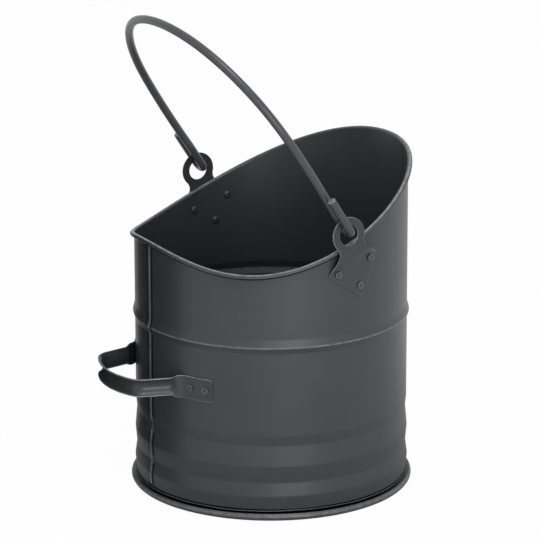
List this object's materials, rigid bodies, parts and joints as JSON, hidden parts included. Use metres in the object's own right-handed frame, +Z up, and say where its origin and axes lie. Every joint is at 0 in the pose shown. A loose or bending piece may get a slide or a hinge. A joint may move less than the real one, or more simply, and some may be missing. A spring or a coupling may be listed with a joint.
{
  "type": "coal hod",
  "caption": "Round sheet-steel coal hod with a slanted pouring lip, a swinging wire bail on riveted ears and a rear tipping handle",
  "frame": {"origin": "on the body's axis, in the plane that the foot hoop rests on", "axes": "+X towards the pouring lip, +Y towards the left ear, +Z up along the body's axis"},
  "size_m": [0.332, 0.3142, 0.5003],
  "materials": {
    "body_paint": "satin charcoal-black paint on rolled sheet steel",
    "fitting_paint": "satin charcoal-black paint on pressed strip steel, edges worn a little bright",
    "bail_paint": "satin charcoal-black paint on drawn round bar, lightly rubbed",
    "rivet_paint": "satin charcoal-black paint on rivet heads",
    "bare_wire": "plain steel wire, hidden inside the rolled edge"
  },
  "bodies": {
    "hod": {"body_wall": "body_paint", "rim_wire": "bare_wire", "base_pan": "body_paint", "foot_hoop": "body_paint", "right_ear": "fitting_paint", "left_ear": "fitting_paint", "right_ear_rivets": "rivet_paint", "left_ear_rivets": "rivet_paint", "rear_handle": "fitting_paint", "right_handle_rivets": "rivet_paint", "left_handle_rivets": "rivet_paint"},
    "bail": {"bail": "bail_paint"}
  },
  "joints": [
    {"name": "bail_swing", "type": "hinge", "parent": "hod", "child": "bail", "pos_m": [0.0027, 0.00011, 0.29651], "axis": [-0.0401, 0.9992, 0], "range_deg": [-85, 110]}
  ]
}
